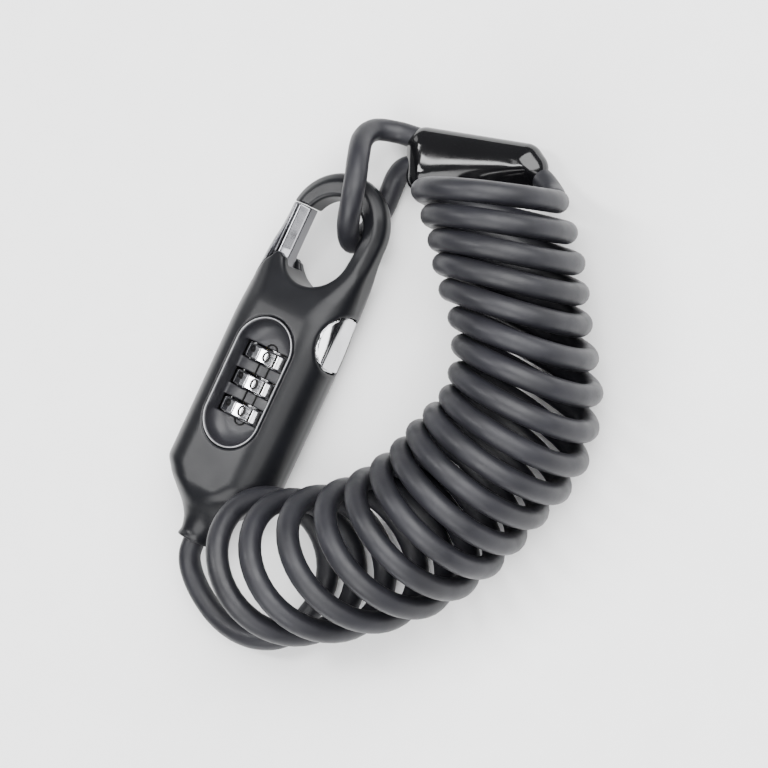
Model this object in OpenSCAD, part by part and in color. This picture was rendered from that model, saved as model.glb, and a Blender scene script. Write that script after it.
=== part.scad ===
// Coiled cable lock with three number wheels and a snap-gate ring.
// +Y runs along the lock towards the ring, +X is the button side, +Z is the window side.
// The lock lies on its back at z = 0, with the origin under the middle of its body.

/* [Body] */
// Length from the tail rim to the top of the ring
lock_len = 88; // [84:1:92]
// Width of the body
body_w = 27; // [26:0.5:28]
// Thickness of the body
body_t = 17; // [16.5:0.5:18]
// Thickness of the ring
ring_t = 6.4; // [5.5:0.1:7]
// Width of the ring's opening
ring_open_w = 15; // [14:0.5:16]
// Wall of the front shell
wall = 1.5; // [1.2:0.1:1.8]

/* [Number wheels] */
// Number of wheels
wheels = 3; // [3:1:3]
// Distance between two wheels
wheel_pitch = 6.5; // [6.3:0.1:6.6]
// Diameter of a wheel
wheel_d = 13.8; // [13:0.2:14]
// Width of a wheel
wheel_w = 3.3; // [3:0.1:3.6]

/* [Gate and button] */
// Opening angle of the gate in degrees
gate_angle = 28; // [24:1:30]
// Travel of the release button
button_travel = 2.6; // [2.2:0.1:2.8]

/* [Cable] */
// Diameter of the coated cable
cable_d = 5; // [4.8:0.1:5.2]
// Radius of the coil at the middle of the cable
coil_r = 15.2; // [14.5:0.1:15.5]

/* [Hidden] */
$fn = 48;
eps = 0.01;
fit = 0.05;             // running clearance on a radius
gap = 0.3;              // clearance between moving bodies

// Body stations along Y, counted from the middle of the lock
tail_y = -lock_len / 2;
top_y = lock_len / 2;
half_w = body_w / 2;
mid_z = body_t / 2;
ring_r = 12.2;          // outer radius of the ring's top
ring_top_c = top_y - ring_r;
open_top_c = 30.8;      // centre of the opening's upper round end
open_low_c = 24.7;      // centre of the opening's lower round end
cover_split = 4;        // height of the joint between cover and shell
cover_y0 = -29;
cover_y1 = 13;
room_x = half_w - wall; // inner side wall
room_z = [3, 12.5];     // floor and ceiling of the inner room
recess_z = 1.7;         // floor of the cover's recess under the wheels
rivet_places = [[-10.6, -28.05], [10.6, -28.05]];
rivet_r = 0.8;

// Wheels
wheel_mid_y = -6.9;
wheel_z = 9.1;
hub_r = 3.6;
spindle_r = 2.2;
tooth_r = 3.2;
hub_w = 3.0;
tooth_w = 1.4;
tooth_l = 1.2;
tooth_gap = 0.4;        // from a hub's face to its tooth at rest
spindle_y0 = -25.5;
spindle_y1 = 5.2;       // middle of the spindle's slanted end
spindle_step = -22.6;   // shoulder that its return spring pushes on
journal_r = 1.1;
dial_y = [for (i = [0 : wheels - 1]) wheel_mid_y + (i - 1) * wheel_pitch];

// Window
window_mid_y = -7;
window_w = 14.3;
window_l = 30.5;
dish_floor = 12.7;
slot_w = 13.2;          // width of a wheel's slot in the dish

// Gate
gate_pivot = [-9.2, 18];
gate_tip_r = 15.35;     // reach of the gate's nose from its pivot
gate_w = 4.8;
gate_x0 = -2.9;         // outer edge of the gate's arm from its pivot
gate_t = 5.4;
gate_boss_r = 2.9;
gate_z = mid_z - gate_t / 2;
tail_arm = 5.5;         // from the pivot to the peg in the slide's fork
tail_w = 2.2;
tail_z = 8.9;           // underside of the tail arm, above the slide
peg_r = 0.8;
peg_x = gate_pivot[0] + tail_arm * sin(gate_angle / 2);
pin_r = 1.0;

// Button and cross slide
button_y = 8.7;
button_l = 12.8;
button_x = 11.6;        // inner face of the button's lower block
button_z = [4.4, 14.2];
button_step = 9;        // height from which the button fills the scallop
button_inset = 0.6;     // depth of the button's face under the body's
scallop_r = 9;          // cut in the body's edge around the button
scallop_x = 19.1;
slide_x0 = -9.6;
slide_y = [7.2, 13.2];
slide_z = 6.2;
slide_t = 2.4;
ramp_slope = 0.5;       // spindle travel for each unit of button travel
ramp_fit = 0.08;
spring_y = 4.9;         // axis of the button's spring

// Reset cam, cable stop and bush
cam_y = -21.2;
cam_r = 1.65;
stop_y = -37;
stop_r = 3.2;
bush_r = 3.1;
bush_l = 5;

// Shapes shared by several pieces

// Stadium of length l and width w, long side along Y, drawn around the origin
module stadium(l, w) {
  square([w, l - w], center = true);
  for (s = [-1, 1]) translate([0, s * (l - w) / 2]) circle(d = w, $fn = 64);
}

// Rectangle with round corners made from squares and circles
module round_rect(x, y, r) {
  square([x, y - 2 * r], center = true);
  square([x - 2 * r, y], center = true);
  for (a = [-1, 1], b = [-1, 1])
    translate([a * (x / 2 - r), b * (y / 2 - r)]) circle(r = r, $fn = 48);
}

// Bar along Y from y0 to y1 with the given cross-section
module along_y(y0, y1) {
  translate([0, y1, 0]) rotate([90, 0, 0]) linear_extrude(y1 - y0) children();
}

// Outline of the body and the ring seen from the front, grown by g
module plan_outline(g = 0) {
  polygon([
    [-12.4 - g, -31.3 - g], [-9.8 - g, -33.5 - g], [-6 - g, -37.4 - g], [-6 - g, tail_y], [6 + g, tail_y],
    [6 + g, -37.4 - g], [9.8 + g, -33.5 - g], [12.4 + g, -31.3 - g], [half_w + g, -28],
    [half_w + g, 8], [ring_r + g, 26], [ring_r + g, ring_top_c], [-ring_r - g, ring_top_c],
    [-ring_r - g, 26], [-half_w - g, 8], [-half_w - g, -28]
  ]);
  translate([0, ring_top_c]) circle(r = ring_r + g, $fn = 96);
}

// Side view of the body and the ring, as half thickness against Y
module side_outline() {
  h = mid_z;
  r = ring_t / 2;
  polygon([
    [tail_y, -6], [-37.4, -6], [-32, -h], [11, -h], [22, -r - 1.2], [27, -r], [top_y, -r],
    [top_y, r], [27, r], [22, r + 1.2], [11, h], [-32, h], [-37.4, 6], [tail_y, 6]
  ]);
}

// Round funnel of the tail
module tail_funnel() {
  translate([0, tail_y, mid_z]) rotate([-90, 0, 0]) rotate_extrude($fn = 64)
    polygon([[0, 0], [3.75, 0], [4.5, 4], [6, 6.6], [9.8, 10.5], [12.5, 13], [12.5, 16], [0, 16]]);
}

// Whole outer form of the body before it is hollowed
module body_form() {
  intersection() {
    union() {
      intersection() {
        along_y(-38, top_y + 1) translate([0, mid_z]) round_rect(body_w, body_t, 8);
        translate([0, 0, mid_z]) rotate([90, 0, 90])
          translate([0, 0, -half_w - 1]) linear_extrude(body_w + 2) side_outline();
        translate([0, 0, -1]) linear_extrude(body_t + 2) plan_outline();
        union() {
          translate([-20, -30, -1]) cube([40, 80, body_t + 2]);
          tail_funnel();
        }
      }
      intersection() {
        tail_funnel();
        translate([-20, tail_y, 0]) cube([40, 16, body_t]);
      }
    }
    translate([-20, tail_y, 0]) cube([40, lock_len, body_t]);
  }
}

// Opening of the ring
module ring_opening() {
  translate([0, (open_top_c + open_low_c) / 2, -1])
    linear_extrude(body_t + 2) stadium(open_top_c - open_low_c + ring_open_w, ring_open_w);
}

// Outline of the gate in plan, relative to its pivot, grown by g
module gate_outline(g = 0) {
  translate([gate_x0 - g, 0]) square([gate_w + 2 * g, 22]);
  translate([gate_x0 - 0.8 - g, -4.4 - g]) square([2.8 + 2 * g, 4.6 + g]);
}

// Space that the gate sweeps between the heights z0 and z0 + h, above y0 from its pivot
module gate_way(z0, h, y0) {
  translate([gate_pivot[0], gate_pivot[1], z0]) intersection() {
    linear_extrude(h) for (a = [0 : 4 : gate_angle]) rotate(-a) gate_outline(gap);
    cylinder(r = gate_tip_r + gap, h = h, $fn = 96);
    translate([-20, y0, 0]) cube([40, 40, h]);
  }
}

// Section of the body, drawn inset by d
module inset_section(d) {
  translate([0, mid_z]) round_rect(body_w - 2 * d, body_t - 2 * d, 8 - d);
}

// Space that the button moves in, kept under the body's skin
module button_way() {
  way_l = button_l + 2 * gap;
  intersection() {
    along_y(button_y - way_l / 2, button_y + way_l / 2) inset_section(gap);
    union() {
      translate([button_x - button_travel - gap, -30, button_z[0] - gap])
        cube([8, 60, button_step - button_z[0]]);
      translate([scallop_x - button_travel, button_y, button_step - 2 * gap])
        cylinder(r = scallop_r - 0.1, h = button_z[1] - button_step + 3 * gap, $fn = 96);
    }
  }
}

// Hollows of the shell: room for the wheels, slide and gate, and the bores
module shell_hollows() {
  ring_opening();
  gate_way(gate_z - gap, gate_t + 2 * gap, -6);
  gate_way(-1, body_t + 2, 3.8);
  translate([gate_pivot[0], gate_pivot[1], gate_z - gap])
    cylinder(r = gate_boss_r + gap, h = gate_t + 2 * gap);
  // sweep of the gate's tail arm
  translate([-room_x, 13, tail_z - gap]) cube([6.2, 5, tail_w + 2 * gap]);
  // joint with the rear cover
  translate([-20, cover_y0, -1]) cube([40, cover_y1 - cover_y0, cover_split + 1]);
  // inner room, from the wheels up to the slide
  translate([-room_x, -27, room_z[0]]) cube([2 * room_x, 41.2, room_z[1] - room_z[0]]);
  // recess that the slide's end moves into
  translate([-room_x - 0.6, slide_y[0] - gap, slide_z - gap])
    cube([3, slide_y[1] - slide_y[0] + 2 * gap, slide_t + 2 * gap]);
  // window
  translate([0, window_mid_y, 10]) linear_extrude(10) stadium(window_l + 0.2, window_w + 0.2);
  // way of the button and the scallop around it
  button_way();
  translate([scallop_x, button_y, -1]) cylinder(r = scallop_r, h = body_t + 2, $fn = 96);
  // blind seat of the gate pin, open at the back
  translate([gate_pivot[0], gate_pivot[1], 2]) cylinder(r = pin_r, h = 12);
  // reset cam, cable stop and bush
  translate([-half_w - 1, cam_y, mid_z]) rotate([0, 90, 0]) cylinder(r = cam_r + fit, h = 4);
  translate([0, -26, mid_z]) rotate([90, 0, 0]) cylinder(r = stop_r, h = 14);
  translate([0, tail_y - 1, mid_z]) rotate([-90, 0, 0]) cylinder(r = bush_r, h = bush_l + 1);
  for (p = rivet_places) translate([p[0], p[1], cover_split - 1]) cylinder(r = rivet_r, h = 5);
}

// Two bearing plates of the spindle, the seat of the button's spring and that of the detent spring
module shell_ribs() {
  difference() {
    union() {
      translate([-8.2, -18.6, 4.3]) cube([room_x + 8.4, 1.2, 7.4]);
      translate([-room_x - 0.2, 1.6, 4.3]) cube([room_x + 8.4, 0.9, 7.4]);
      translate([6.2, 2.4, 4.6]) cube([0.8, 4.2, 6]);
    }
    translate([0, -30, wheel_z]) rotate([-90, 0, 0]) cylinder(r = spindle_r + fit, h = 36);
    // way of the last tooth through its plate
    translate([-tooth_w / 2 - gap, 1, wheel_z - tooth_r - gap]) cube([tooth_w + 2 * gap, 2, tooth_r]);
  }
  translate([-10.6, -27.1, 4.3]) cube([1.2, 4.1, 8.4]);
}

module front_shell() color("#2b2c30") {
  difference() {
    body_form();
    shell_hollows();
  }
  shell_ribs();
}

module rear_cover() color("#2b2c30") difference() {
  intersection() {
    body_form();
    translate([-20, cover_y0 + eps, 0]) cube([40, cover_y1 - cover_y0 - 2 * eps, cover_split]);
  }
  translate([-half_w + 3, -26, recess_z]) cube([body_w - 6, 28.6, 5]);
  translate([-half_w + 3, 3, 3]) cube([body_w - 6, 8.6, 5]);
  for (p = rivet_places) translate([p[0], p[1], -1]) cylinder(r = rivet_r, h = 8);
}

module cover_rivets() color("#4a4b50") for (p = rivet_places) translate([p[0], p[1], 0.4])
  cylinder(r = rivet_r, h = 6.6);

module window_insert() color("#3a3b3e") difference() {
  translate([0, window_mid_y, 12]) linear_extrude(body_t - 12 + 0.1) stadium(window_l, window_w);
  // dish
  translate([0, window_mid_y, dish_floor]) linear_extrude(6) stadium(window_l - 1.4, window_w - 1.4);
  // slots for the wheels
  for (y = dial_y) translate([-slot_w / 2, y - wheel_w / 2 - gap, 8])
    cube([slot_w, wheel_w + 2 * gap, dish_floor - 8 + eps]);
}

module dial(i) color("#b9babd") translate([0, dial_y[i], wheel_z]) rotate([90, 0, 0]) difference() {
  cylinder(d = wheel_d, h = wheel_w, center = true, $fn = 80);
  cylinder(r = hub_r, h = wheel_w + 1, center = true);
}

module dial_hub(i) color("#c9a24a") translate([0, dial_y[i], wheel_z]) rotate([90, 0, 0]) difference() {
  cylinder(r = hub_r, h = hub_w, center = true);
  cylinder(r = spindle_r + fit, h = hub_w + 1, center = true);
  // keyway, and the face cut back by the travel of the spindle's tooth
  translate([-0.9, -4.2, -hub_w]) cube([1.8, 3.2, 2 * hub_w]);
  translate([0, 0, -hub_w]) cylinder(r = tooth_r + 0.1, h = hub_w / 2 + tooth_l);
}

module spindle() color("#8d8f94") difference() {
  translate([0, 0, wheel_z]) {
    translate([0, spindle_y0, 0]) rotate([-90, 0, 0]) cylinder(r = journal_r, h = 4);
    translate([0, spindle_step, 0]) rotate([-90, 0, 0])
      cylinder(r = spindle_r, h = spindle_y1 - spindle_step + 2);
    for (y = dial_y) translate([-tooth_w / 2, y + hub_w / 2 + tooth_gap, -tooth_r])
      cube([tooth_w, tooth_l, 2]);
  }
  // slanted end that the slide's ramp pushes back
  translate([0, spindle_y1, 0]) rotate(-atan(ramp_slope)) translate([-6, 0, 0]) cube([12, 6, 20]);
}

module spindle_spring() color("#a8a9ad") translate([0, -26.95, wheel_z]) rotate([-90, 0, 0]) difference() {
  cylinder(r = 2.1, h = spindle_step + 26.9);
  translate([0, 0, -1]) cylinder(r = journal_r + 0.2, h = 8);
}

module detent_spring() color("#a8a9ad") {
  translate([-9.4, -26.8, 4.3]) cube([0.5, 28.1, 8]);
  for (y = dial_y) translate([-8.9, y - 1, wheel_z - 0.8]) cube([1.4, 2, 1.6]);
}

module gate() color("#9a9ca2") translate([gate_pivot[0], gate_pivot[1], 0]) difference() {
  union() {
    translate([0, 0, gate_z]) intersection() {
      linear_extrude(gate_t) gate_outline();
      cylinder(r = gate_tip_r, h = gate_t, $fn = 96);
    }
    translate([0, 0, gate_z]) cylinder(r = gate_boss_r, h = gate_t);
    // tail arm and the peg that hangs from it into the slide's fork
    rotate(gate_angle / 2) {
      translate([-tail_w / 2, -tail_arm, tail_z]) cube([tail_w, tail_arm, tail_w]);
      translate([0, -tail_arm, slide_z - gap]) cylinder(r = peg_r, h = tail_z - slide_z + 2 * gap, $fn = 32);
    }
  }
  cylinder(r = pin_r + fit, h = body_t);
}

module gate_pin() color("#77797e") translate([gate_pivot[0], gate_pivot[1], 3]) cylinder(r = pin_r, h = 11);

// Bent leaf that holds the gate shut
module gate_spring() color("#a8a9ad") translate([0, 0, tail_z + 0.4]) linear_extrude(1.5)
  polygon([[-12, 4.8], [-11.6, 4.8], [-11.6, 7.8], [-9.45, 13.4], [-9.8, 13.6], [-12, 8]]);

module release_button() color("#c4c6ca") intersection() {
  along_y(button_y - button_l / 2, button_y + button_l / 2) inset_section(button_inset);
  translate([0, 0, button_z[0]]) cube([20, 30, button_z[1] - button_z[0]]);
  translate([scallop_x, button_y, 0]) cylinder(r = scallop_r - 0.4, h = body_t, $fn = 96);
  union() {
    translate([button_x, 0, 0]) cube([5, 30, body_t]);
    translate([0, 0, button_step]) cube([20, 30, body_t]);
  }
}

module cross_slide() color("#6f7176") translate([0, 0, slide_z]) linear_extrude(slide_t) difference() {
  union() {
    translate([slide_x0, slide_y[0]]) square([button_x - slide_x0, slide_y[1] - slide_y[0]]);
    // ramp that pushes the spindle back
    polygon([[-2.7, slide_y[0] + 1], [-2.7, ramp_y(-2.7)], [4.9, ramp_y(4.9)], [5.8, ramp_y(4.9)],
      [5.8, slide_y[0] + 1]]);
  }
  // fork of the gate's peg
  translate([peg_x - peg_r - fit, 11.4]) square([2 * (peg_r + fit), 5]);
}

function ramp_y(x) = spindle_y1 - ramp_slope * x + ramp_fit;

module button_spring() color("#a8a9ad") translate([7, spring_y, slide_z + slide_t / 2]) rotate([0, 90, 0])
  cylinder(r = 1.2, h = button_x - 7);

module reset_cam() color("#c4c6ca") translate([-half_w, cam_y, mid_z]) rotate([0, 90, 0]) difference() {
  cylinder(r = cam_r, h = 3.6);
  translate([-1.2, -0.3, -1]) cube([2.4, 0.6, 1.6]);
}

module cable_stop() color("#8d8f94") translate([0, stop_y + 10, mid_z]) rotate([90, 0, 0])
  cylinder(r = stop_r, h = 10);

module tail_bush() color("#1d1d20") translate([0, tail_y, mid_z]) rotate([-90, 0, 0]) difference() {
  cylinder(r = bush_r, h = bush_l);
  translate([0, 0, -1]) cylinder(r = cable_d / 2, h = bush_l + 2);
}

// Cable: coil, free stretches, eye loop and sleeve

// Middle of the coil on the table, every second turn, from the sleeve's end
coil_path = [
  [33.5, 53], [43, 43.5], [50.5, 33.5], [59.5, 22.5], [63, 9.5],
  [59.5, -2.5], [55, -14.5], [46.5, -26], [32, -36.5], [17.5, -42.5]
];
coil_t0 = 0.3;          // first and last turn that the solid covers
coil_t1 = 17;
join_out = 0;           // turn where the cable arrives from the sleeve
join_lead = 17.5;       // turn where it leaves for the lock's tail

// From the coil's last turn along the table to the lock's tail
lead_route = [
  [30.6, -50, 5], [27.5, -54.5, 5.4], [22.5, -57, 5.2], [17, -57.7, 4.9], [11.5, -56.8, 5],
  [6.5, -54.3, 5.9], [2.6, -51, 7.1], [0.5, -47.6, 8.2], [0, -44, 8.5], [0, -37, 8.5]
];
// From the sleeve's far end up to the coil's first turn
out_route = [[34, 61, 4.2], [38.4, 59.8, 4.2], [42.2, 58.2, 5.6]];
// From the sleeve over the ring, down through its opening, and back under it
eye_route = [
  [10, 57.4, 4.2], [6, 57, 4.2], [1.6, 56.4, 5.2], [-2, 54.8, 8.5], [-1.5, 51.8, 13], [1.5, 47.5, 16.8],
  [4, 43, 18.5], [5.2, 38.5, 18.2], [5.2, 34, 15.5], [4.7, 31.2, 11.5], [4.4, 30.3, 8],
  [4.3, 32, 4.8], [4.4, 35.5, 2.7], [4.9, 40, 2.5], [4.8, 44, 2.6], [5, 47.4, 3.2],
  [6.4, 50, 4], [9.2, 51.6, 4.2], [12, 52.5, 4.2]
];
// Middles of the sleeve's four round corners
sleeve_corners = [[8.7, 56.2], [11.6, 50.2], [34.2, 60.9], [32.4, 61.9]];
sleeve_r = 4.2;

function unit(v) = v / norm(v);
function smooth(x) = let (s = min(max(x, 0), 1)) s * s * (3 - 2 * s);
function at(p, i) = i < 0 ? 2 * p[0] - p[1] : i >= len(p) ? 2 * p[len(p) - 1] - p[len(p) - 2] : p[i];
function catmull(p, i, f) = let (a = at(p, i - 1), b = at(p, i), c = at(p, i + 1), d = at(p, i + 2))
  0.5 * (2 * b + (c - a) * f + (2 * a - 5 * b + 4 * c - d) * f * f + (3 * b - a - 3 * c + d) * f * f * f);

// Turn number t of the coil: heading and lean of its turn, and a point of it at radius r and angle a
function turn_heading(t) = 105 - 2.4 * t - 0.1 * t * t;
function turn_lean(t) = 4 + 34 * smooth((t - 11) / 7);
function turn_centre(t) =
  let (i = min(floor(t / 2), len(coil_path) - 2), c = catmull(coil_path, i, t / 2 - i))
  [c[0], c[1], coil_r * cos(turn_lean(t)) + cable_d / 2];
function turn_point(t, r, a) = let (h = turn_heading(t), l = turn_lean(t))
  turn_centre(t)
  + r * (cos(a) * [sin(h), -cos(h), 0] + sin(a) * [-cos(h) * sin(l), -sin(h) * sin(l), cos(l)]);
function coil_point(t) = turn_point(t, coil_r, 368.8 * t - 37);

// Smooth line through a route, n points to each stretch
function smooth_line(p, n) = concat(
  [for (i = [0 : len(p) - 2], k = [0 : n - 1]) catmull(p, i, k / n)], [p[len(p) - 1]]);
function tangent(p, i) = unit(at(p, i + 1) - at(p, i - 1));
function carry(n, t) = unit(n - (n * t) * t);

// Tube of diameter d swept along the points p
module swept(p, d, sides) {
  n0 = carry([0.1, 0.2, 1], tangent(p, 0));
  side_dirs = [for (i = 0, n = n0; i < len(p); i = i + 1, n = i < len(p) ? carry(n, tangent(p, i)) : n) n];
  rings = [for (i = [0 : len(p) - 1]) let (u = side_dirs[i], v = cross(tangent(p, i), u))
    for (k = [0 : sides - 1]) p[i] + d / 2 * (cos(360 * k / sides) * u + sin(360 * k / sides) * v)];
  skin(rings, len(p), sides);
}

// Closed skin over a row of rings
module skin(points, count, sides) {
  walls = [for (i = [0 : count - 2], k = [0 : sides - 1]) let (j = (k + 1) % sides)
    [i * sides + k, i * sides + j, (i + 1) * sides + j, (i + 1) * sides + k]];
  ends = [[for (k = [0 : sides - 1]) k], [for (k = [sides - 1 : -1 : 0]) (count - 1) * sides + k]];
  polyhedron(points, concat([for (w = walls) [w[0], w[2], w[1]]], [for (w = walls) [w[0], w[3], w[2]]], ends),
    convexity = 6);
}

module cable_coil() color("#3a3b44") {
  steps = 26;
  sides = 20;
  skin([for (i = [0 : steps]) let (t = coil_t0 + (coil_t1 - coil_t0) * i / steps)
    for (k = [0 : sides - 1]) turn_point(t, coil_r + cable_d / 2, 360 * k / sides)], steps + 1, sides);
}

module cable_lead() color("#3a3b44") {
  steps = 3;
  start = [for (i = [0 : steps]) coil_point(coil_t1 + 0.3 + (join_lead - coil_t1 - 0.3) * i / steps)];
  swept(concat(start, lead_route), cable_d, 10);
}

module cable_lead_out() color("#3a3b44")
  swept(concat(out_route, [for (t = [join_out : 0.1 : coil_t0 + 0.05]) coil_point(t)]), cable_d, 10);

module eye_loop() color("#3a3b44") swept(smooth_line(eye_route, 1), cable_d, 10);

module eye_sleeve() color("#17181b") hull() {
  for (p = sleeve_corners) translate([p[0], p[1], sleeve_r]) sphere(r = sleeve_r, $fn = 32);
}

module crimp_ferrule() color("#8d8f94") translate([22, 57.6, sleeve_r]) rotate([0, 0, 18]) rotate([0, 90, 0])
  cylinder(r = 2.4, h = 8, center = true);

front_shell();
rear_cover();
cover_rivets();
window_insert();
dial(0);  // dial_1
dial(1);  // dial_2
dial(2);  // dial_3
dial_hub(0);  // dial_hub_1
dial_hub(1);  // dial_hub_2
dial_hub(2);  // dial_hub_3
spindle();
spindle_spring();
detent_spring();
gate();
gate_pin();
gate_spring();
release_button();
cross_slide();
button_spring();
reset_cam();
cable_stop();
tail_bush();
cable_lead();
cable_coil();
cable_lead_out();
eye_loop();
eye_sleeve();
crimp_ferrule();
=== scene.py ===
"""Looks of the coiled cable lock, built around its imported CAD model."""

import bmesh
import bpy
import numpy as np
from mathutils import Matrix, Vector


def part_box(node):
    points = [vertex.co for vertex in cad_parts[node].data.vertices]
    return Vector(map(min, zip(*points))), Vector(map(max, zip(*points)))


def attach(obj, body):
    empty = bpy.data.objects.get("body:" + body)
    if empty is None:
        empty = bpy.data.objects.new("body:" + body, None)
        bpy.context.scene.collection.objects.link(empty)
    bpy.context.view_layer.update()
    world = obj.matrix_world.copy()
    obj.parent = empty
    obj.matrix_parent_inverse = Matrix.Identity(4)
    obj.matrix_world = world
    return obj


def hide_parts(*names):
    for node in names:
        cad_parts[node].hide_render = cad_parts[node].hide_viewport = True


MM = 0.001

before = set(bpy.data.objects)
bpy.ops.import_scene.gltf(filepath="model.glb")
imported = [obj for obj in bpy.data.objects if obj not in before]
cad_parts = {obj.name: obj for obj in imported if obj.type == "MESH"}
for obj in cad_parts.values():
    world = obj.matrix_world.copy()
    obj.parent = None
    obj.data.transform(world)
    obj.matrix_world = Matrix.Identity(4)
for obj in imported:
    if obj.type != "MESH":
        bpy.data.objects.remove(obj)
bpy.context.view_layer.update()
collection = bpy.context.scene.collection


# ---------------------------------------------------------------- camera

CAMERA_TOWARDS = (0.444, 0.038, 0.895)
CAMERA_TURN = 24.9
CAMERA_DISTANCE = 900
CAMERA_LENS = 191.8
# height of the lock's middle, and how far right of it and below it the view is centred
LOOK_Z, LOOK_RIGHT, LOOK_DOWN = 8.7, 23.43, 5.41


def camera():
    """Long lens that looks down on the lock, with its ring towards the upper left."""
    towards = Vector(CAMERA_TOWARDS).normalized()
    turn = np.radians(CAMERA_TURN)
    along = (Vector((0, 1, 0)) - towards * towards.y).normalized()
    across = along.cross(towards)
    right = across * np.cos(turn) + along * np.sin(turn)
    up = along * np.cos(turn) - across * np.sin(turn)
    aim = Vector((0, 0, LOOK_Z)) + right * LOOK_RIGHT - up * LOOK_DOWN
    data = bpy.data.cameras.new("camera")
    data.lens = CAMERA_LENS
    data.clip_start = 0.05
    obj = bpy.data.objects.new("camera", data)
    collection.objects.link(obj)
    axes = Matrix((right, up, towards)).transposed().to_4x4()
    obj.matrix_world = Matrix.Translation((aim + towards * CAMERA_DISTANCE) * MM) @ axes
    bpy.context.scene.camera = obj


camera()


# ---------------------------------------------------------------- cable

CABLE_D = 5.0
COIL_R = 15.2
# middle of the coil on the table, every second turn, from the sleeve's end
COIL_PATH = [(33.5, 53), (43, 43.5), (50.5, 33.5), (59.5, 22.5), (63, 9.5),
             (59.5, -2.5), (55, -14.5), (46.5, -26), (32, -36.5), (17.5, -42.5)]
FIRST_TURN, LAST_TURN = 0.0, 17.5
STEPS_PER_TURN = 44
LEAD = [(30.6, -50, 5), (27.5, -54.5, 5.4), (22.5, -57, 5.2), (17, -57.7, 4.9), (11.5, -56.8, 5),
        (6.5, -54.3, 5.9), (2.6, -51, 7.1), (0.5, -47.6, 8.2), (0, -44, 8.5), (0, -37, 8.5)]
LEAD_OUT = [(34, 61, 4.2), (38.4, 59.8, 4.2), (42.2, 58.2, 5.6)]
IN_SLEEVE = [(26, 59.4, 4.2), (18, 58.2, 4.2)]
EYE = [(10, 57.4, 4.2), (6, 57, 4.2), (1.6, 56.4, 5.2), (-2, 54.8, 8.5), (-1.5, 51.8, 13),
       (1.5, 47.5, 16.8), (4, 43, 18.5), (5.2, 38.5, 18.2), (5.2, 34, 15.5), (4.7, 31.2, 11.5),
       (4.4, 30.3, 8), (4.3, 32, 4.8), (4.4, 35.5, 2.7), (4.9, 40, 2.5), (4.8, 44, 2.6),
       (5, 47.4, 3.2), (6.4, 50, 4), (9.2, 51.6, 4.2), (12, 52.5, 4.2)]


def catmull(p, i, f):
    """Point at share f of stretch i of a smooth line through the points p."""
    a = p[i - 1] if i > 0 else 2 * p[0] - p[1]
    b, c = p[i], p[i + 1]
    d = p[i + 2] if i + 2 < len(p) else 2 * p[-1] - p[-2]
    return 0.5 * (2 * b + (c - a) * f + (2 * a - 5 * b + 4 * c - d) * f ** 2
                  + (3 * b - a - 3 * c + d) * f ** 3)


def smooth_line(points, n):
    """Smooth line through the points, with n steps to each stretch."""
    p = [np.array(q, float) for q in points]
    return [catmull(p, i, k / n) for i in range(len(p) - 1) for k in range(n)] + [p[-1]]


def coil_point(t):
    """Turn number t of the coil; the turns lean over more and more towards the lock's end."""
    heading = np.radians(105 - 2.4 * t - 0.1 * t * t)
    s = min(max((t - 11) / 7, 0), 1)
    lean = np.radians(4 + 34 * s * s * (3 - 2 * s))
    path = [np.array(q, float) for q in COIL_PATH]
    i = min(int(t / 2), len(path) - 2)
    x, y = catmull(path, i, t / 2 - i)
    centre = np.array([x, y, COIL_R * np.cos(lean) + CABLE_D / 2])
    a = np.radians(368.8 * t - 37)
    side = np.array([np.sin(heading), -np.cos(heading), 0])
    rise = np.array([-np.cos(heading) * np.sin(lean), -np.sin(heading) * np.sin(lean), np.cos(lean)])
    return centre + COIL_R * (np.cos(a) * side + np.sin(a) * rise)


def cable_line():
    """From inside the lock's tail along the lead, through the coil and the sleeve, and round the eye."""
    turns = np.linspace(LAST_TURN, FIRST_TURN, int((LAST_TURN - FIRST_TURN) * STEPS_PER_TURN))
    start = [coil_point(LAST_TURN - 0.02), *LEAD]
    lead = smooth_line(start[::-1], 8)[:-8]
    out = smooth_line([coil_point(FIRST_TURN + 0.01), *LEAD_OUT[::-1]], 8)[1:]
    inside = smooth_line([LEAD_OUT[0], *IN_SLEEVE, EYE[0]], 4)[1:]
    return lead + [coil_point(t) for t in turns] + out + inside + smooth_line(EYE, 8)[1:]


def cable():
    points = np.array(cable_line()) * MM
    curve = bpy.data.curves.new("cable", "CURVE")
    curve.dimensions = "3D"
    curve.bevel_depth = 1       # scaled by the radius of each point
    curve.bevel_resolution = 7
    curve.use_fill_caps = True
    spline = curve.splines.new("POLY")
    spline.points.add(len(points) - 1)
    spline.points.foreach_set("co", np.column_stack([points, np.ones(len(points))]).ravel())
    spline.points.foreach_set("radius", np.full(len(points), CABLE_D / 2 * MM))
    spline.use_smooth = True
    obj = bpy.data.objects.new("cable", curve)
    collection.objects.link(obj)
    obj["length"] = float(np.linalg.norm(np.diff(points, axis=0), axis=1).sum())
    print("cable length", obj["length"])
    return obj


cable_piece = cable()


# ---------------------------------------------------------------- solid shapes from distance fields

def smax(a, b, k):
    """Larger of two fields, rounded over the width k: an intersection with a soft edge."""
    h = np.maximum(k - np.abs(a - b), 0) / k
    return np.maximum(a, b) + h * h * k / 4


def smin(a, b, k):
    return -smax(-a, -b, k)


def least(*fields):
    """Union of several fields, with sharp meetings."""
    out = fields[0]
    for field in fields[1:]:
        out = np.minimum(out, field)
    return out


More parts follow.
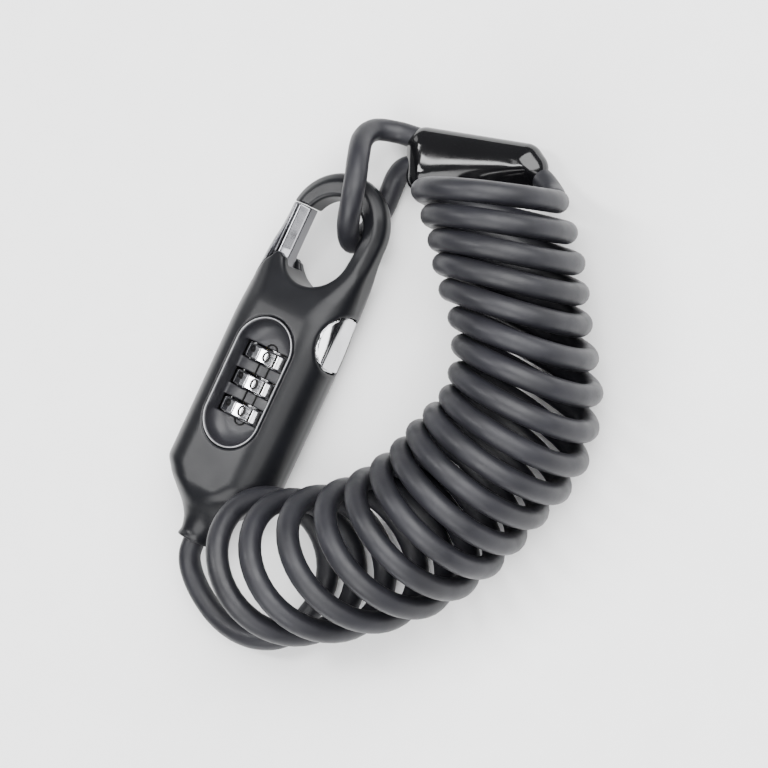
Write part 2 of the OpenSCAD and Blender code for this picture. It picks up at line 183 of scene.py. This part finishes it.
def mix(y, points):
    """Value at y of a smooth curve through (y, value) points that never overshoots them."""
    at, values = (np.array(c, float) for c in zip(*points))
    slope = np.diff(values) / np.diff(at)
    inner = [2 * a * b / (a + b) if a * b > 0 else 0.0 for a, b in zip(slope[:-1], slope[1:])]
    tangent = np.array([0.0, *inner, 0.0])
    y = np.clip(y, at[0], at[-1])
    i = np.clip(np.searchsorted(at, y, side="right") - 1, 0, len(at) - 2)
    h = at[i + 1] - at[i]
    t = (y - at[i]) / h
    return (values[i] * (1 + 2 * t) * (1 - t) ** 2 + values[i + 1] * t ** 2 * (3 - 2 * t)
            + h * t * (1 - t) * (tangent[i] * (1 - t) - tangent[i + 1] * t))


def soft_step(x, a, b):
    s = np.clip((x - a) / (b - a), 0, 1)
    return s * s * (3 - 2 * s)


def box2(x, y, hx, hy, r=0.0):
    """Distance to a rectangle of half sides hx and hy around the origin, with corners rounded by r."""
    qx, qy = np.abs(x) - hx + r, np.abs(y) - hy + r
    return np.hypot(np.maximum(qx, 0), np.maximum(qy, 0)) + np.minimum(np.maximum(qx, qy), 0) - r


def stadium(x, y, length, width):
    return np.hypot(x, np.maximum(np.abs(y) - (length - width) / 2, 0)) - width / 2


def slab(z, z0, z1):
    return np.abs(z - (z0 + z1) / 2) - (z1 - z0) / 2


def spin(x, y, degrees):
    """Coordinates seen from a frame turned by the angle."""
    c, s = np.cos(np.radians(degrees)), np.sin(np.radians(degrees))
    return c * x + s * y, c * y - s * x


def mesh_of(name, vertices, faces, smooth=True):
    mesh = bpy.data.meshes.new(name)
    mesh.from_pydata((np.asarray(vertices) * MM).tolist(), [], [list(map(int, f)) for f in faces])
    mesh.update()
    if smooth:
        mesh.shade_smooth()
    obj = bpy.data.objects.new(name, mesh)
    collection.objects.link(obj)
    return obj


RELAX = 0.6             # share of the way to the neighbours' middle in one round
RELAX_ROUNDS = 4


def crossed_cells(inside):
    """Cells of the grid whose eight corners aren't all on one side of the surface."""
    count = inside.shape
    total = sum(inside[i:count[0] - 1 + i, j:count[1] - 1 + j, k:count[2] - 1 + k].astype(int)
                for i in (0, 1) for j in (0, 1) for k in (0, 1))
    return (total > 0) & (total < 8)


def quads_around(inside, number):
    """A quad for each edge of the grid that crosses the surface, through its four cells."""
    quads = []
    for axis in range(3):
        order = (axis, (axis + 1) % 3, (axis + 2) % 3)
        s, n = inside.transpose(order), number.transpose(order)
        i, j, k = np.nonzero(s[:-1, 1:-1, 1:-1] != s[1:, 1:-1, 1:-1])
        j, k = j + 1, k + 1
        q = np.column_stack([n[i, j - 1, k - 1], n[i, j, k - 1], n[i, j, k], n[i, j - 1, k]])
        out = s[i, j, k]
        q[~out] = q[~out][:, ::-1]
        quads.append(q)
    return np.vstack(quads)


def relaxed(p, quads):
    """Points moved most of the way to the middle of their neighbours."""
    a, b = quads.ravel(), np.roll(quads, -1, axis=1).ravel()
    degree = np.maximum(np.bincount(a, minlength=len(p)) + np.bincount(b, minlength=len(p)), 1)
    around = np.column_stack([np.bincount(a, p[b, c], len(p)) + np.bincount(b, p[a, c], len(p))
                              for c in range(3)]) / degree[:, None]
    return p + RELAX * (around - p)


def onto_surface(p, field, step):
    """Points moved along the field's slope to where it is zero."""
    h = 0.02 * step
    for _ in range(3):
        value = field(*p.T)
        slope = np.column_stack([(field(*(p + h * e).T) - field(*(p - h * e).T)) / (2 * h)
                                 for e in np.eye(3)])
        move = slope * (value / np.maximum((slope ** 2).sum(1), 0.05))[:, None]
        far = np.linalg.norm(move, axis=1, keepdims=True)
        p = p - move * np.minimum(1, 0.5 * step / np.maximum(far, 1e-9))
    return p


def solid(name, field, low, high, step):
    """Mesh of the surface where field(x, y, z) is zero, with a point in each cell that it crosses."""
    low = np.array(low, float)
    count = np.ceil((np.array(high, float) - low) / step).astype(int) + 1
    x, y, z = (low[i] + step * np.arange(count[i]) for i in range(3))
    inside = field(x[:, None, None], y[None, :, None], z[None, None, :]) + np.zeros(count) < 0
    crossed = crossed_cells(inside)
    number = np.full(crossed.shape, -1)
    number[crossed] = np.arange(crossed.sum())
    quads = quads_around(inside, number)
    p = onto_surface(low + (np.argwhere(crossed) + 0.5) * step, field, step)
    for _ in range(RELAX_ROUNDS):
        p = onto_surface(relaxed(p, quads), field, step)
    return mesh_of(name, p, quads)


def by_speed(full):
    return full


# ---------------------------------------------------------------- lock body

lock_low, lock_high = (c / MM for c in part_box("front_shell"))
TAIL_Y, TOP_Y = lock_low.y, lock_high.y
MID_Z = 8.5
RING_R = 12.2
RING_C = TOP_Y - RING_R
OPEN_W, OPEN_TOP, OPEN_LOW = 15, 30.8, 24.7
PIVOT = (-9.2, 18)
GATE_T = 5.4
GATE_GAP = 0.22         # play around the gate
GATE_OPENS = 28         # degrees
BUTTON_Y = 8.7
SCALLOP_X, SCALLOP_R = 19.1, 9
CAM_Y, CAM_R = -21.2, 1.65
RIVET_X, RIVET_Y = 10.6, -28.05
SLIDE_END, SLIDE_HALF, SLIDE_Z = (-11.1, 10.2), (1.5, 3.3), (5.9, 8.9)
WHEEL_Y = (-13.4, -6.9, -0.4)
WHEEL_Z, WHEEL_R, WHEEL_W = 9.1, 6.9, 3.3
WINDOW_Y, WINDOW_W, WINDOW_L = -7, 14.3, 30.5
COVER_Z = 4
BODY_ROUND, RING_ROUND = 8, 2.6     # radius of the body's and the ring's edges
NECK_BLEND = 3
CREASE_IN = 2.0

# spaces inside the shell: middle and half sides in plan, heights between which they lie
ROOM_Y, ROOM_HALF, ROOM_Z = -6.4, (12, 20.6), (3, 12.5)
POCKET_Y, POCKET_Z = 12, (5.5, 11.5)
RELIEF, RELIEF_R = (-6.9, 22.4), 1.1
TAIL_BORE_R, TAIL_BORE_END = 3.1, -26

# gate, measured from its pivot
ARM_X, ARM_HALF_W, ARM_L = -0.65, 2.55, 22
ARM_REACH = 15.35
TAIL_ARM, TAIL_ARM_HALF = (-2.5, -2.1), (1.6, 2.3)
BOSS_R = 2.9
PIN_BORE_R = 1.05
LEVER_TURN, LEVER_L, LEVER_HALF_W = 14, 5.5, 1.1
PEG_R = 0.72

# button: half length, play in its way, and its front and side facets (normal, then a point on it)
BUTTON_HALF_L, BUTTON_PLAY = 6.45, 0.3
FRONT_FACET = (0.62, 0.785), (10.25, 14.4)
SIDE_FACET = (0.99, 0.13), (12.6, 12.4)
BUTTON_SIDE_X = 12.85
BUTTON_GROOVE, BUTTON_GROOVE_R = (12.62, 12.5), 0.2

# radius of the round tail, half width and half thickness of the body along the lock
TAIL_LINE = [(-44, 4.1), (-42.4, 3.8), (-40.4, 4.2), (-37.4, 5.9), (-34, 9.3), (-31, 12.3), (-26.5, 18)]
WIDTH_LINE = [(6, 13.5), (14, 13.2), (20, 12.75), (26, 12.3), (31, 12.2)]
THICK_LINE = [(3, 8.5), (10, 8.2), (16, 6.9), (20, 5.6), (24, 4.4), (28, 3.5), (32, 3.2)]


def body_field(x, y, z):
    """Lock body with a funnel at its tail; the ring carries a crease inside its edge."""
    tail = mix(y, TAIL_LINE)
    half_w = smin(tail, mix(y, WIDTH_LINE), NECK_BLEND)
    half_t = smin(tail, mix(y, THICK_LINE), NECK_BLEND)
    plan = np.where(y > RING_C, np.hypot(x, y - RING_C) - RING_R, np.abs(x) - half_w)
    side = np.abs(z - MID_Z) - half_t
    r = BODY_ROUND - (BODY_ROUND - RING_ROUND) * soft_step(y, 10, 26)
    r = np.minimum(r, half_t - 0.01)
    q, s = plan + r, side + r
    d = np.hypot(np.maximum(q, 0), np.maximum(s, 0)) + np.minimum(np.maximum(q, s), 0) - r
    crease = 0.64 * (plan + CREASE_IN) + 0.77 * side - 3 * (1 - soft_step(y, 12, 26))
    return smax(smax(d, crease, 0.25), TAIL_Y - y, 0.5)


def opening_field(x, y):
    return stadium(x, y - (OPEN_TOP + OPEN_LOW) / 2, OPEN_TOP - OPEN_LOW + OPEN_W, OPEN_W)


def gate_plan(x, y, grow=0.0):
    """Outline of the gate from its pivot: the arm, and the short tail along the body's edge."""
    arm = box2(x - ARM_X, y - ARM_L / 2, ARM_HALF_W + grow, ARM_L / 2 + grow, 0.5)
    arm = np.maximum(arm, np.hypot(x, y) - ARM_REACH - grow)
    half_w, half_l = TAIL_ARM_HALF
    tail = box2(x - TAIL_ARM[0], y - TAIL_ARM[1], half_w + grow, half_l + grow, 0.5)
    boss = np.hypot(x, y) - BOSS_R - grow
    return smin(smin(arm, tail, 0.6), boss, 0.4)


def strip_side(x, y):
    """Below zero on the outer side of the slanted line where the gate's tail shows beside the shell."""
    return (x + 1.0) * 0.951 - (y - 2.5) * 0.308


def strip_plan(x, y, grow=0.0):
    """Outer edge of the gate, which lies flush with the body and the ring."""
    return np.maximum(np.maximum(gate_plan(x, y, grow), strip_side(x, y) + 0.25 - grow), x + 1.7 - grow)


def gate_sweep(x, y, plan, grow):
    """All places that an outline of the gate passes as it opens."""
    return least(*[plan(*spin(x - PIVOT[0], y - PIVOT[1], -a), grow) for a in range(0, GATE_OPENS + 1, 4)])


def button_way(x, y, z):
    """Space that the button moves in, under the body's skin."""
    low = np.maximum(8.7 - x, slab(z, 4.1, 9))
    high = np.maximum(np.hypot(x - 16.5, y - BUTTON_Y) - 9.5, slab(z, 8.4, 14.6))
    half_l = BUTTON_HALF_L + BUTTON_PLAY
    way = np.maximum(np.minimum(low, high), slab(y, BUTTON_Y - half_l, BUTTON_Y + half_l))
    return np.maximum(way, body_field(x, y, z) + 0.65)


def body_hollows(x, y, z):
    """Inner spaces with the screw and tail bores; the window; the scallop around the button."""
    room = np.maximum(box2(x, y - ROOM_Y, *ROOM_HALF), slab(z, *ROOM_Z))
    window = np.maximum(stadium(x, y - WINDOW_Y, WINDOW_L + 0.1, WINDOW_W + 0.1), 10 - z)
    u, v = x - PIVOT[0], y - PIVOT[1]
    pocket = np.maximum(gate_sweep(x, y, gate_plan, GATE_GAP), slab(z, *POCKET_Z))
    pocket = np.maximum(pocket, POCKET_Y - y)
    through = np.maximum(gate_plan(u, v, GATE_GAP), np.minimum(3.8 - v, strip_side(u, v)))
    relief = np.hypot(x - RELIEF[0], y - RELIEF[1]) - RELIEF_R
    through = least(through, gate_sweep(x, y, strip_plan, GATE_GAP), relief)
    scallop = np.hypot(x - SCALLOP_X, y - BUTTON_Y) - SCALLOP_R
    cam = np.maximum(np.hypot(y - CAM_Y, z - MID_Z) - (CAM_R + 0.1), x + 11)
    bore = np.maximum(np.hypot(x, z - MID_Z) - TAIL_BORE_R, y - TAIL_BORE_END)
    recess = np.maximum(box2(x - SLIDE_END[0], y - SLIDE_END[1], *SLIDE_HALF), slab(z, *SLIDE_Z))
    return least(room, recess, pocket, through, button_way(x, y, z), cam, bore), window, scallop


def shell_field(x, y, z):
    inner, window, scallop = body_hollows(x, y, z)
    d = smax(body_field(x, y, z), -opening_field(x, y), 1.0)
    d = smax(d, -scallop, 0.6)
    d = smax(d, -window, 0.5)
    cover = np.maximum(z - COVER_Z, slab(y, -29, 13))
    return smax(smax(d, -inner, 0.35), -cover, 0.3)


def rivet_distance(x, y):
    """Distance to the axis of the nearer rivet."""
    return np.hypot(np.abs(x) - RIVET_X, y - RIVET_Y)


def cover_field(x, y, z):
    cover = np.maximum(z - COVER_Z + 0.12, slab(y, -28.85, 12.85))
    rivets = rivet_distance(x, y) - 0.8
    d = smax(body_field(x, y, z), cover, 0.4)
    inside = np.maximum(box2(x, y + 8, 10.5, 18), 1.7 - z)
    return smax(smax(d, -inside, 0.3), -rivets, 0.3)


STEP = by_speed(0.32)
shell = solid("shell", shell_field, (-14.5, -44.8, -0.8), (14.5, 44.8, 17.8), STEP)
cover = solid("back_cover", cover_field, (-14.5, -30, -0.8), (14.5, 14, 4.8), STEP)


# ---------------------------------------------------------------- window

DISH_Z = 12.8


def dish_field(x, y, z):
    """Shallow bowl with a thin raised bezel and slots for the wheels."""
    y = y - WINDOW_Y
    outer = np.maximum(stadium(x, y, WINDOW_L, WINDOW_W), slab(z, 12, 17.05))
    fillet = 0.8 + 3.4 * soft_step(np.abs(y), 6, 11)
    bowl = smax(stadium(x, y, WINDOW_L - 1.3, WINDOW_W - 1.3), DISH_Z - z, fillet)
    d = smax(outer, -bowl, 0.3)
    slots = least(*[box2(x, y + WINDOW_Y - w, 6.5, WHEEL_W / 2 + 0.3, 0.2) for w in WHEEL_Y])
    return smax(d, -np.maximum(slots, z - 14), 0.25)


def bezel_field(x, y, z):
    """Bright line that runs round the dish: a thin raised ring whose light metal is a painted highlight
    along the dark bezel's edge.
    """
    ring = np.abs(stadium(x, y - WINDOW_Y, WINDOW_L - 0.5, WINDOW_W - 0.5)) - 0.14
    return smax(ring, slab(z, 16.6, 17.2), 0.15)


def index_field(x, y, z):
    """Outline that frames the row of set digits, cut where the wheels stand."""
    ring = np.abs(box2(x, y - WHEEL_Y[1], 1.35, 9.5, 1.3)) - 0.17
    slots = least(*[slab(y, w - WHEEL_W / 2 - 0.3, w + WHEEL_W / 2 + 0.3) for w in WHEEL_Y])
    return smax(smax(ring, slab(z, DISH_Z - 0.3, DISH_Z + 0.3), 0.15), -slots, 0.1)


FINE = by_speed(0.11)
dish = solid("window_dish", dish_field, (-7.8, -23, 11.5), (7.8, 9, 17.6), by_speed(0.2))
# ring round the dish in lighter metal: painted highlight on the bezel's edge
bezel = solid("window_bezel_highlight", bezel_field, (-7.6, -23, 16.4), (7.6, 9, 17.5), FINE)
index = solid("index_lines", index_field, (-2.2, -17.5, 12.2), (2.2, 4, 13.5), FINE)


# ---------------------------------------------------------------- wheels

DIGIT_TURN = 9          # the figures face a reader on the button side
CELL = 36               # degrees to each digit
CORE_R = 3.6
DIGIT_SIZE, DIGIT_WIDEN, DIGIT_PROUD = 3.3, 1.2, 0.02
# size of the dark strip in each groove between digits: painted shade
SHADE_STRIP_HALF_TURN, SHADE_STRIP_HALF_W, SHADE_STRIP_DEPTH = 1.2, 1.5, 0.22
# half of a wheel's profile: distance from its middle, and how deep it is cut there
RIM = [(1.65, 0.45), (1.45, 0.12), (1.32, 0), (0.7, 0)]


def on_wheel(i, r, angle, y):
    """Points of wheel i at radius r, at angles from its top and y along its axis."""
    return np.column_stack([r * np.sin(angle), np.full(np.shape(angle), WHEEL_Y[i] + y),
                            WHEEL_Z + r * np.cos(angle)])


def wheel(i):
    """Wheel with ten cells parted by grooves and a chamfer at each rim."""
    around = 400
    theta = np.arange(around) * 2 * np.pi / around
    border = np.abs((np.degrees(theta) + CELL / 2 - DIGIT_TURN) % CELL)
    border = np.minimum(border, CELL - border)
    groove = 0.3 * np.clip(1.6 - border / 1.3, 0, 1)
    side = RIM[0][0]
    rows = [(-y, cut) for y, cut in RIM] + [(0, 0)] + RIM[::-1]
    profile = [(-side, None)] + rows + [(side, None)]
    points, faces = [], []
    for y, cut in profile:
        r = np.full(around, CORE_R) if cut is None else WHEEL_R - np.maximum(groove, cut)
        points.append(on_wheel(i, r, theta, y))
    k = np.arange(around)
    for j in range(len(profile)):
        a, b = j * around, (j + 1) % len(profile) * around
        faces += np.column_stack([a + k, b + k, b + (k + 1) % around, a + (k + 1) % around]).tolist()
    obj = mesh_of(f"wheel_{i + 1}", np.vstack(points), faces)
    obj.data.set_sharp_from_angle(angle=np.radians(30))
    return obj


def flat_digit(n):
    """Points and faces of digit n on a plane, in faces small enough to bend round a wheel."""
    text = bpy.data.curves.new("digit", "FONT")
    text.body = str(n)
    text.size = DIGIT_SIZE
    text.offset = 0.07
    text.align_x = "CENTER"
    text.align_y = "CENTER"
    text.resolution_u = 6
    temp = bpy.data.objects.new("digit", text)
    collection.objects.link(temp)
    bpy.context.view_layer.update()
    fine = bmesh.new()
    fine.from_mesh(temp.evaluated_get(bpy.context.evaluated_depsgraph_get()).to_mesh())
    bmesh.ops.triangulate(fine, faces=fine.faces)
    for _ in range(3):
        long = [e for e in fine.edges if e.calc_length() > 0.35]
        bmesh.ops.subdivide_edges(fine, edges=long, cuts=1)
        bmesh.ops.triangulate(fine, faces=fine.faces)
    flat = np.array([v.co for v in fine.verts])
    faces = [[v.index for v in f.verts] for f in fine.faces]
    fine.free()
    temp.to_mesh_clear()
    bpy.data.objects.remove(temp)
    return flat, faces


def digits(i):
    """The ten digits of a wheel, and a dark strip of painted shade in each groove between them."""
    vertices, loops = [], []
    for n in range(10):
        flat, faces = flat_digit(n)
        base = len(vertices)
        angle = DIGIT_WIDEN * flat[:, 0] / WHEEL_R + np.radians(CELL * n + DIGIT_TURN)
        vertices += on_wheel(i, WHEEL_R + DIGIT_PROUD, angle, flat[:, 1]).tolist()
        loops += [[base + v for v in f] for f in faces]
        base = len(vertices)
        # dark strip sunk into the groove: painted shade where the groove lies in shadow
        edges = np.array([-SHADE_STRIP_HALF_TURN, SHADE_STRIP_HALF_TURN]) + CELL * n + CELL // 2 + DIGIT_TURN
        for a in np.radians(edges):
            for y in (-SHADE_STRIP_HALF_W, SHADE_STRIP_HALF_W):
                vertices += on_wheel(i, WHEEL_R - SHADE_STRIP_DEPTH, a, y).tolist()
        loops.append([base, base + 1, base + 3, base + 2])
    return mesh_of(f"digits_{i + 1}", vertices, loops)


wheels = [wheel(i) for i in range(3)]
figures = [digits(i) for i in range(3)]


# ---------------------------------------------------------------- gate, button, screw, rivets

def gate_field(x, y, z):
    """Polished arm with a crease down its middle and a bevel along its outer edge."""
    u, v = x - PIVOT[0], y - PIVOT[1]
    height = np.abs(z - MID_Z)
    plan = np.maximum(gate_plan(u, v), body_field(x, y, np.full_like(z, MID_Z)) + 0.05)
    crease = 0.42 * np.maximum(np.abs(u + 0.5) - 0.1, 0) * soft_step(v, 1, 5)
    bevel = (-u - 2.1) * 0.6 + (height - 1.9) * 0.8
    arm = smax(smax(plan, height - GATE_T / 2 + crease, 0.3), bevel, 0.15)
    strip = smax(strip_plan(u, v), body_field(x, y, z) + 0.05, 0.1)
    tu, tv = spin(u, v, LEVER_TURN)
    lever = np.maximum(box2(tu, tv + LEVER_L / 2, LEVER_HALF_W, LEVER_L / 2, 0.2), slab(z, 8.9, 11.1))
    peg = np.maximum(np.hypot(tu, tv + LEVER_L) - PEG_R, slab(z, 5.9, 9.1))
    d = least(smin(arm, lever, 0.2), strip, peg)
    return smax(d, PIN_BORE_R - np.hypot(u, v), 0.15)


gate = solid("gate_arm", gate_field, (-13.8, 11.6, 1.5), (-6, 34, 15.9), by_speed(0.2))


def facet(x, z, plane):
    """Distance past a plane that runs along the lock."""
    normal, point = plane
    return normal[0] * (x - point[0]) + normal[1] * (z - point[1])


def button_field(x, y, z):
    """Push button that fills the scallop: a broad front facet and a side facet, parted by a groove."""
    v = y - BUTTON_Y
    face = smax(smax(facet(x, z, FRONT_FACET), facet(x, z, SIDE_FACET), 0.1), x - BUTTON_SIDE_X, 0.2)
    groove = BUTTON_GROOVE_R - np.hypot(x - BUTTON_GROOVE[0], z - BUTTON_GROOVE[1])
    face = smax(face, groove, 0.1)
    arc, skin = np.hypot(x - SCALLOP_X, v) - SCALLOP_R, body_field(x, y, z)
    under_skin = np.maximum(arc - 0.25, skin + 0.75)
    in_scallop = np.maximum(arc + 0.2, skin + 0.2)
    ends = np.maximum(np.minimum(under_skin, in_scallop), np.abs(v) - BUTTON_HALF_L)
    inner = np.maximum(slab(z, 4.4, 14.3), np.minimum(11.6 - x, 9 - z))
    return smax(np.maximum(ends, inner), face, 0.25)


button = solid("button_cap", button_field, (9.4, 1.8, 3.9), (13.6, 15.6, 14.9), by_speed(0.14))


def screw_field(x, y, z):
    r = np.hypot(y - CAM_Y, z - MID_Z)
    disc = smax(r - CAM_R, slab(x, -13.95, -9.9), 0.4)
    slot = np.maximum(slab(y, CAM_Y - 0.3, CAM_Y + 0.3), x + 13.1)
    return smax(disc, -slot, 0.12)


screw = solid("reset_screw", screw_field, (-14.4, CAM_Y - 2, MID_Z - 2), (-9.5, CAM_Y + 2, MID_Z + 2), 0.12)


def rivet_field(x, y, z):
    r = rivet_distance(x, y)
    return smax(r - 0.74, slab(z, 0.7 + 0.2 * r ** 2, 7), 0.2)


rivets = solid("rivets", rivet_field, (-11.8, -29.2, 0.3), (11.8, -27, 7.4), 0.16)


# ---------------------------------------------------------------- eye sleeve

SLEEVE_CORNERS = [(8.7, 56.2), (11.6, 50.2), (34.2, 60.9), (32.4, 61.9)]
SLEEVE_R = 4.2
SLEEVE_CROWN = 7.0
FAR_IN, FAR_OUT = -20.0, 100.0      # past any distance inside or outside the sleeve


def sleeve_field(x, y, z):
    """Moulded block, round all over and wider at the eye, with a crowned top."""
    corners = np.array(SLEEVE_CORNERS)
    shape = np.broadcast(x, y).shape
    beyond, inner, rim = (np.full(shape, start) for start in (FAR_IN, FAR_IN, FAR_OUT))
    for (ax, ay), (bx, by) in zip(corners, np.roll(corners, -1, axis=0)):
        length = np.hypot(bx - ax, by - ay)
        ux, uy = (bx - ax) / length, (by - ay) / length
        side = (x - ax) * uy - (y - ay) * ux
        along = np.clip((x - ax) * ux + (y - ay) * uy, 0, length)
        beyond = np.maximum(beyond, side)
        inner = smax(inner, side, 3)
        rim = np.minimum(rim, np.hypot(x - ax - along * ux, y - ay - along * uy))
    plan = np.where(beyond > 0, rim, np.minimum(inner, 0)) - SLEEVE_R
    across = np.maximum(plan / SLEEVE_CROWN + 1, 0)
    return SLEEVE_R * (np.hypot(across, (z - SLEEVE_R) / SLEEVE_R) - 1)


sleeve = solid("eye_block", sleeve_field, (3, 44, -0.5), (40, 68, 9.5), by_speed(0.36))


# ---------------------------------------------------------------- materials

def material(name, color, rough, metal=0.0, grain=900, bump=0.02, spread=0.12, rough_spread=0.08,
             stretch=(1, 1, 1), specular=0.5):
    """Principled surface with fine grain, uneven gloss and a slow drift of its colour."""
    m = bpy.data.materials.new(name)
    m.use_nodes = True
    nodes, links = m.node_tree.nodes, m.node_tree.links
    shader = nodes["Principled BSDF"]
    shader.inputs["Metallic"].default_value = metal
    shader.inputs["Specular IOR Level"].default_value = specular
    place = nodes.new("ShaderNodeTexCoord")
    scaled = nodes.new("ShaderNodeMapping")
    scaled.inputs["Scale"].default_value = stretch
    links.new(place.outputs["Object"], scaled.inputs["Vector"])

    def noise(scale, detail=3.0):
        n = nodes.new("ShaderNodeTexNoise")
        n.inputs["Scale"].default_value = scale
        n.inputs["Detail"].default_value = detail
        links.new(scaled.outputs["Vector"], n.inputs["Vector"])
        return n

    def ramp(source, low, high, low_value, high_value):
        r = nodes.new("ShaderNodeMapRange")
        r.inputs["From Min"].default_value = low
        r.inputs["From Max"].default_value = high
        r.inputs["To Min"].default_value = low_value
        r.inputs["To Max"].default_value = high_value
        links.new(source, r.inputs["Value"])
        return r.outputs["Result"]

    drift = noise(90, 4)
    tint = nodes.new("ShaderNodeMix")
    tint.data_type = "RGBA"
    tint.inputs["A"].default_value = [c * (1 - spread) for c in color] + [1]
    tint.inputs["B"].default_value = [min(1, c * (1 + spread)) for c in color] + [1]
    links.new(ramp(drift.outputs["Fac"], 0.35, 0.65, 0, 1), tint.inputs["Factor"])
    links.new(tint.outputs["Result"], shader.inputs["Base Color"])
    smear = noise(260, 5)
    links.new(ramp(smear.outputs["Fac"], 0.3, 0.7, rough - rough_spread, rough + rough_spread),
              shader.inputs["Roughness"])
    fine = noise(grain, 2)
    relief = nodes.new("ShaderNodeBump")
    relief.inputs["Strength"].default_value = 0.35
    relief.inputs["Distance"].default_value = bump * MM
    links.new(fine.outputs["Fac"], relief.inputs["Height"])
    links.new(relief.outputs["Normal"], shader.inputs["Normal"])
    return m


body_paint = material("satin_black_paint", (0.0045, 0.0047, 0.006), 0.33,
                      grain=1600, bump=0.02, rough_spread=0.02, specular=0.26)
dish_plastic = material("dish_grey", (0.016, 0.016, 0.019), 0.4, grain=5000, bump=0.05, specular=0.4)
# lighter metal for the ring round the dish: painted highlight on the bezel's edge, which is dark like the
# dish
bezel_highlight_metal = material("painted_bezel_highlight", (0.30, 0.30, 0.31), 0.4, metal=0.6, grain=3000)
chrome = material("wheel_chrome", (0.62, 0.62, 0.64), 0.16,
                  metal=1, grain=900, bump=0.01, rough_spread=0.06, stretch=(1, 9, 1))
# black for the printed digits and the index lines, and for the painted shade strips in the wheel grooves
print_and_groove_shade_black = material("print_and_groove_shade_black", (0.004, 0.004, 0.004), 0.5, grain=4000, specular=0.15)
dark_chrome = material("dark_chrome", (0.16, 0.16, 0.17), 0.14,
                       metal=1, grain=700, bump=0.01, rough_spread=0.05)
bright_chrome = material("bright_chrome", (0.72, 0.72, 0.74), 0.12,
                         metal=1, grain=700, bump=0.01, rough_spread=0.05)
cable_coat = material("cable_coat", (0.009, 0.009, 0.012), 0.46,
                      grain=2200, bump=0.05, spread=0.2, specular=0.36)
sleeve_gloss = material("sleeve_gloss", (0.003, 0.003, 0.0035), 0.13,
                        grain=300, bump=0.03, rough_spread=0.04)
steel = material("turned_steel", (0.42, 0.42, 0.43), 0.3, metal=1, grain=2500, bump=0.02, stretch=(1, 6, 1))
spring_steel = material("spring_steel", (0.3, 0.3, 0.31), 0.35, metal=1, grain=2500)
brass = material("brass", (0.6, 0.43, 0.18), 0.28, metal=1, grain=2000)
rivet_steel = material("rivet_steel", (0.2, 0.2, 0.21), 0.38, metal=1, grain=2500)


def wear(obj, surface):
    obj.data.materials.clear()
    obj.data.materials.append(surface)


# piece, CAD body it rides on, finish, record slot, CAD nodes it stands for
PIECES = [
    (shell, "root", body_paint, "body_black", ["front_shell"]),
    (cover, "root", body_paint, "body_black", ["rear_cover"]),
    (rivets, "root", rivet_steel, "rivet_steel", ["cover_rivets"]),
    (dish, "root", dish_plastic, "window_grey", ["window_insert"]),
    (bezel, "root", bezel_highlight_metal, "window_grey", []),
    (index, "root", print_and_groove_shade_black, "window_grey", []),
    (gate, "gate_body", dark_chrome, "dark_chrome", ["gate"]),
    (button, "button_body", bright_chrome, "button_chrome", ["release_button"]),
    (screw, "reset_body", bright_chrome, "button_chrome", ["reset_cam"]),
    (cable_piece, "root", cable_coat, "cable_pvc",
     ["cable_lead", "cable_coil", "cable_lead_out", "eye_loop"]),
    (sleeve, "root", sleeve_gloss, "sleeve_black", ["eye_sleeve"]),
]
for i in range(3):
    PIECES.append((wheels[i], f"wheel_{i + 1}", chrome, "wheel_chrome", [f"dial_{i + 1}"]))
    # each wheel carries its printed digits and the dark strips of painted groove shade
    PIECES.append((figures[i], f"wheel_{i + 1}", print_and_groove_shade_black, "wheel_chrome", []))
for piece, body, surface, record_slot, stands_for in PIECES:
    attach(piece, body)
    wear(piece, surface)
    if stands_for:
        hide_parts(*stands_for)

# CAD nodes that stay as they are, under the finish that each is given
KEPT = [
    (steel, ["spindle", "cross_slide", "gate_pin", "cable_stop", "crimp_ferrule"]),
    (spring_steel, ["spindle_spring", "detent_spring", "gate_spring", "button_spring"]),
    (sleeve_gloss, ["tail_bush"]),
    (brass, ["dial_hub_1", "dial_hub_2", "dial_hub_3"]),
]
for surface, nodes in KEPT:
    for node in nodes:
        wear(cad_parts[node], surface)


# ---------------------------------------------------------------- floor and light

FLOOR_HALF, FLOOR_Z = 3000, -0.15
floor_corners = [(x * FLOOR_HALF, y * FLOOR_HALF, FLOOR_Z) for x, y in ((-1, -1), (1, -1), (1, 1), (-1, 1))]
floor = mesh_of("floor", floor_corners, [(0, 1, 2, 3)])
wear(floor, material("floor", (0.9, 0.9, 0.9), 0.7, grain=60, bump=0.01, spread=0.01))


def softbox(name, place, size, power):
    """Area light that looks towards the object."""
    data = bpy.data.lights.new(name, "AREA")
    data.shape = "RECTANGLE"
    data.size, data.size_y = size
    data.energy = power
    obj = bpy.data.objects.new(name, data)
    collection.objects.link(obj)
    obj.location = place
    obj.rotation_euler = (Vector((0.02, 0.01, 0.01)) - Vector(place)).to_track_quat("-Z", "Y").to_euler()


# place and size in metres, power in watts
softbox("key", (-0.42, -0.02, 0.85), (0.16, 0.5), 5.5)
softbox("over", (0.45, 0.75, 1.15), (1.5, 1.5), 62)
softbox("front", (0.35, -0.95, 1.1), (1.3, 1.3), 36)
softbox("right", (0.85, -0.05, 0.76), (0.3, 0.5), 2.4)
softbox("side", (-1.1, 0.3, 0.45), (0.5, 0.5), 2)

world = bpy.data.worlds.new("studio")
world.use_nodes = True
world.node_tree.nodes["Background"].inputs["Color"].default_value = (0.9, 0.92, 0.95, 1)
world.node_tree.nodes["Background"].inputs["Strength"].default_value = 0.3
bpy.context.scene.world = world
